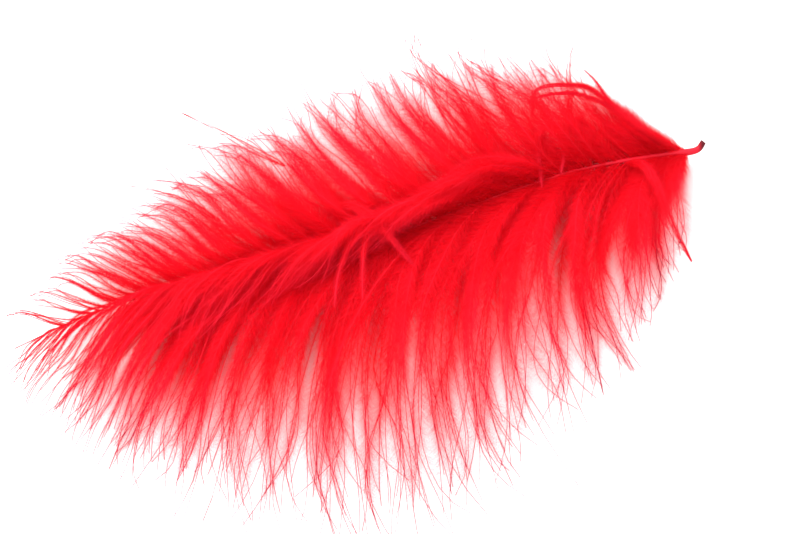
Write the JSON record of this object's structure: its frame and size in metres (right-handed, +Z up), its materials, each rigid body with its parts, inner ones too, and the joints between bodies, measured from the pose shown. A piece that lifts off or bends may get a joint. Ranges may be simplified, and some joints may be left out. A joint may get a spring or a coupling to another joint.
{
  "type": "marabou feather",
  "caption": "Dyed marabou feather lying on its side: a slim hooked quill that thins to the tip, with long soft locks of down fanning out along both sides.",
  "frame": {"origin": "the middle of the feather's box, on the surface that it lies on", "axes": "+X along the shaft towards the bare quill, +Y across it towards the side with the shorter down, +Z up"},
  "size_m": [0.133, 0.0934, 0.0165],
  "materials": {
    "down": "soft dyed down, matt with a faint silky sheen",
    "shaft": "dyed horn, satin"
  },
  "bodies": {
    "root": {"marabou_feather": "down"}
  },
  "joints": []
}
